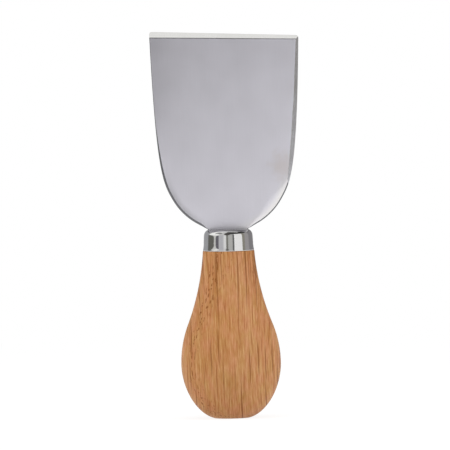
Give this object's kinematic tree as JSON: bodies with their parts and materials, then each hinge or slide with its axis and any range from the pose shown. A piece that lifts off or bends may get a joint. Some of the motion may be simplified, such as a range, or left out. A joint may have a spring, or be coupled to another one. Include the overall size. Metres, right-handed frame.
{
  "type": "cheese spatula",
  "caption": "Cheese spatula with a wide flat steel blade ground at its tip, a polished steel ferrule and a pear-shaped turned oak handle with a flat end.",
  "frame": {"origin": "centre of the handle's flat end, on the surface that the spatula stands on", "axes": "+Z along the spatula from the handle to the blade's tip, X across the blade, -Y out of the blade's ground face"},
  "size_m": [0.05, 0.0334, 0.13],
  "materials": {
    "blade_steel": "satin, with bright ground edges",
    "ferrule_steel": "polished",
    "oak": "open-pored oak with a thin matt oil",
    "adhesive": "cured, translucent amber"
  },
  "bodies": {
    "root": {"blade": "blade_steel", "ferrule": "ferrule_steel", "handle": "oak", "tang_adhesive": "adhesive"}
  },
  "joints": []
}
